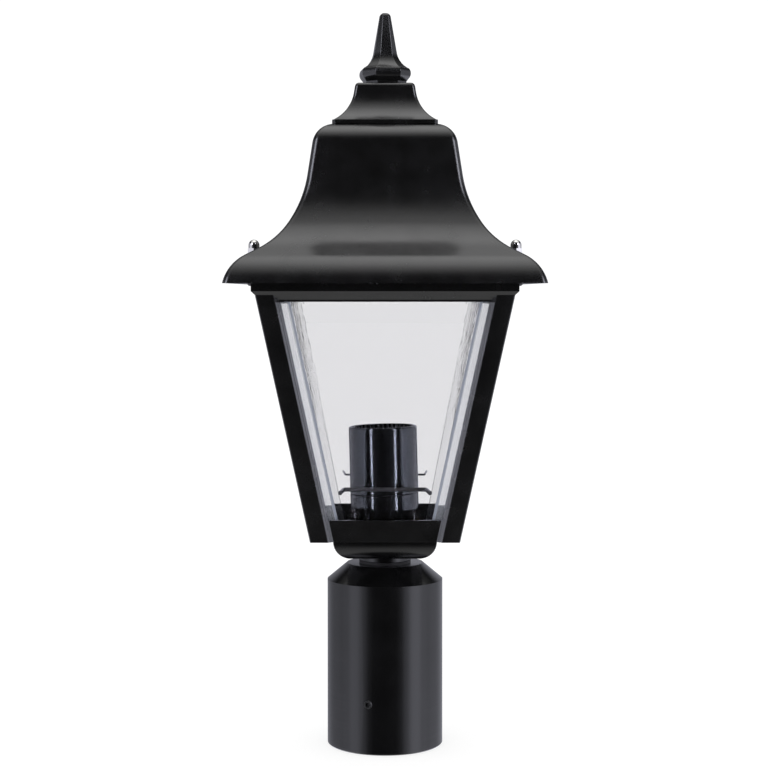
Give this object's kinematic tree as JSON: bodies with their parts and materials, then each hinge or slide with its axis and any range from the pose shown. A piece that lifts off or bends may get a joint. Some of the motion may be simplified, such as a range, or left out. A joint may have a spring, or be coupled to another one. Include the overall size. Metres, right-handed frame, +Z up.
{
  "type": "street lantern",
  "caption": "Four-sided tapering lantern head with a bell roof, finial, clear panes, an open screw lampholder and a round sleeve that drops over a lamp post.",
  "frame": {"origin": "centre of the post sleeve's lower rim", "axes": "+Z up along the sleeve and the finial, the lantern's front faces -Y, the roof screws lie on X"},
  "size_m": [0.1732, 0.1732, 0.4212],
  "materials": {
    "black_cast_metal": "die-cast, powder coated in gloss black",
    "black_steel": "blackened steel",
    "rubber_seal": "matt black",
    "clear_glass": "clear, polished, bevelled round the inner face",
    "spring_wire": "black coated spring wire",
    "plated_steel": "zinc plated",
    "bright_plated_steel": "bright nickel plated",
    "brass": "plain brass",
    "black_plastic": "gloss black thermoset moulding",
    "ceramic": "unglazed white ceramic"
  },
  "bodies": {
    "root": {"post_sleeve": "black_cast_metal", "sleeve_grub_screws": "black_steel", "neck_seal": "rubber_seal", "neck_collar": "black_cast_metal", "under_dish": "black_cast_metal", "lantern_cage": "black_cast_metal", "pane_front": "clear_glass", "pane_back": "clear_glass", "pane_left": "clear_glass", "pane_right": "clear_glass", "pane_spring_front": "spring_wire", "pane_spring_rear": "spring_wire", "roof": "black_cast_metal", "crown_cap": "black_cast_metal", "finial": "black_cast_metal", "crown_stud": "plated_steel", "crown_washer": "plated_steel", "crown_nut": "plated_steel", "roof_screws": "black_steel", "roof_screw_washers": "plated_steel", "dome_nuts": "bright_plated_steel", "stem": "plated_steel", "stem_washers": "plated_steel", "stem_nuts": "plated_steel", "earth_screw": "brass", "earth_washer": "brass", "lampholder_base": "black_plastic", "lampholder_core": "ceramic", "lampholder_skirt": "black_plastic", "lampholder_thread_shell": "plated_steel", "lampholder_centre_contact": "brass", "lampholder_terminal_screws": "brass"}
  },
  "joints": []
}
